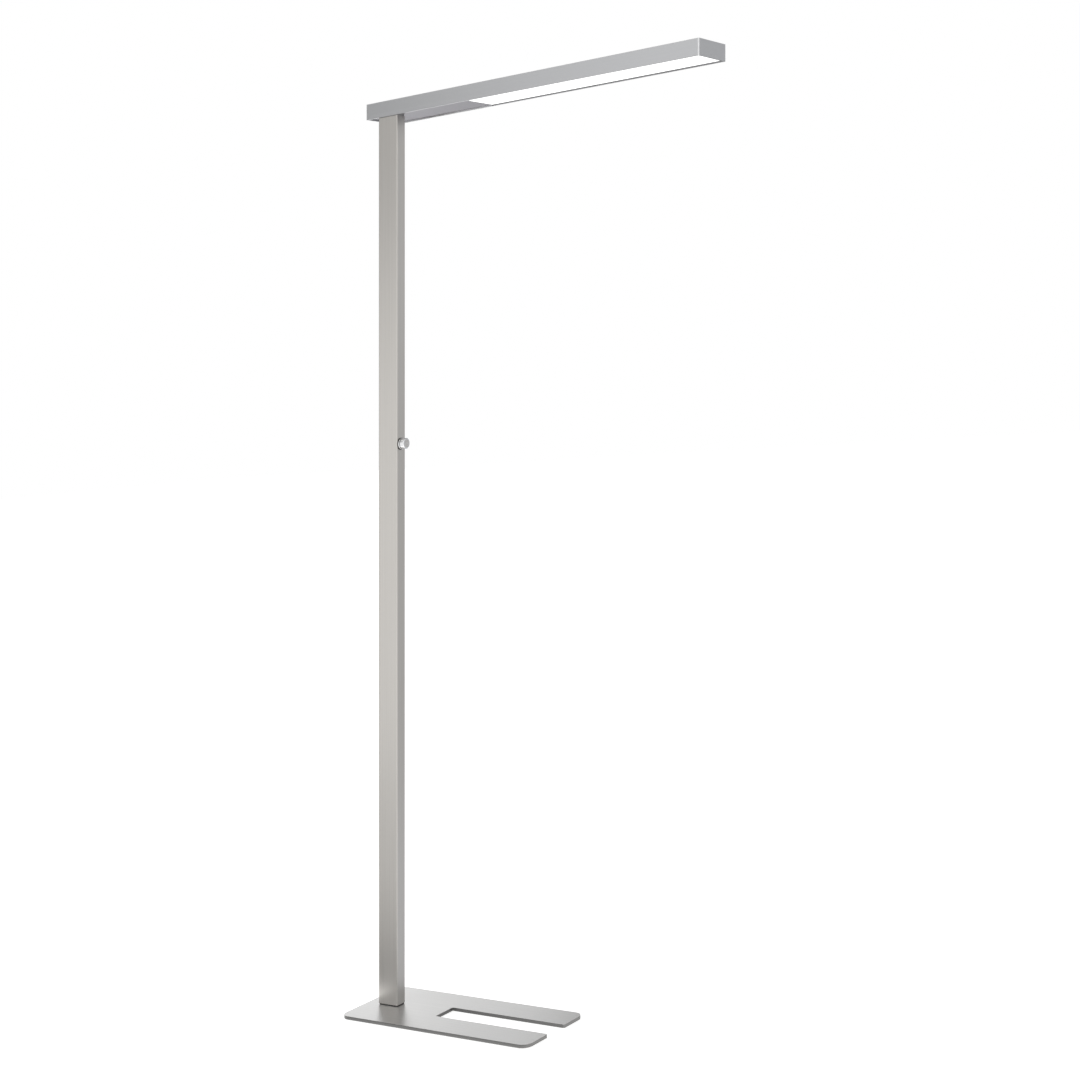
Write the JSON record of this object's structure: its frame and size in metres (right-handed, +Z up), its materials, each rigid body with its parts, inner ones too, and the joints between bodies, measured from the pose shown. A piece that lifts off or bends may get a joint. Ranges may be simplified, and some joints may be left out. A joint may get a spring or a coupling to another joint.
{
  "type": "office floor lamp",
  "caption": "Floor lamp with a slotted flat foot, a rectangular post with a turn-and-push dimmer, and a long flat downlight head.",
  "frame": {"origin": "on the floor, under the middle of the post, at the underside of the middle pad", "axes": "+X along the head towards its tip, +Y from the near long side of the head to the far one, +Z up"},
  "size_m": [0.823, 0.208, 1.95],
  "materials": {
    "plate_steel": "fine brushed along the length, satin lacquer",
    "pad_rubber": "matt soft rubber",
    "joint_black": "matt black",
    "joint_grey": "matt grey",
    "block_aluminium": "as machined",
    "screw_steel": "zinc plated",
    "grub_steel": "black oxide",
    "post_aluminium": "satin lacquer over fine vertical brushing",
    "bushing_plastic": "matt black",
    "terminal_plastic": "natural",
    "brass": "bright",
    "dome_brass": "bright spring metal",
    "lead_white": "smooth sheath",
    "lead_grey": "smooth sheath",
    "encoder_metal": "die cast",
    "encoder_plastic": "phenolic",
    "plunger_plastic": "smooth",
    "shaft_steel": "ground",
    "dimmer_chrome": "polished",
    "face_chrome": "fine spun",
    "board_green": "solder resist",
    "head_aluminium": "satin anodised",
    "cover_aluminium": "satin silver lacquer",
    "diffuser_opal": "opal, lit from behind",
    "carrier_steel": "zinc plated steel",
    "driver_white": "smooth",
    "tray_aluminium": "mill finish",
    "light_board_white": "white solder resist",
    "light_chip": "phosphor",
    "reflector_white": "matt white"
  },
  "bodies": {
    "stand": {"base_plate": "plate_steel", "base_pads": "pad_rubber", "foot_spacer": "joint_black", "foot_block": "block_aluminium", "base_screws": "screw_steel", "post_tube": "post_aluminium", "post_grub_screws": "grub_steel", "inlet_bushing": "bushing_plastic", "inlet_terminals": "terminal_plastic", "inlet_terminal_screw": "screw_steel", "earth_screw": "brass", "mains_lead": "lead_white", "top_block": "block_aluminium", "top_spacer": "joint_grey", "encoder_body": "encoder_metal", "encoder_base": "encoder_plastic", "contact_dome": "dome_brass", "bushing_nut": "screw_steel", "dimmer_gasket": "joint_black", "dimmer_bezel": "dimmer_chrome", "dimmer_board": "board_green", "dimmer_plug": "terminal_plastic", "control_lead": "lead_grey", "head_profile": "head_aluminium", "tip_cap": "head_aluminium", "rear_cap": "head_aluminium", "end_cap_screws": "screw_steel", "rear_cover": "cover_aluminium", "driver_cover": "cover_aluminium", "diffuser": "diffuser_opal", "head_plate": "carrier_steel", "head_plate_bolts": "screw_steel", "head_plate_screws": "screw_steel", "led_driver": "driver_white", "driver_screws": "screw_steel", "head_terminals": "terminal_plastic", "head_terminal_screw": "screw_steel", "led_tray": "tray_aluminium", "tray_screws": "screw_steel", "led_boards": "light_board_white", "board_screws": "screw_steel", "led_chips": "light_chip", "board_links": "terminal_plastic", "reflector": "reflector_white", "led_lead": "lead_grey"},
    "dimmer_plunger": {"switch_plunger": "plunger_plastic"},
    "dimmer_knob": {"encoder_shaft": "shaft_steel", "dimmer_knob": "dimmer_chrome", "knob_face": "face_chrome", "knob_set_screw": "grub_steel"}
  },
  "joints": [
    {"name": "dimmer_push", "type": "slide", "parent": "stand", "child": "dimmer_plunger", "axis": [-1, 0, 0], "range_m": [0, 0.001], "stiffness_N_per_m": 1500, "springref_m": -0.001},
    {"name": "dimmer_turn", "type": "hinge", "parent": "dimmer_plunger", "child": "dimmer_knob", "pos_m": [0.036, 0, 1.212], "axis": [1, 0, 0], "continuous": true}
  ]
}
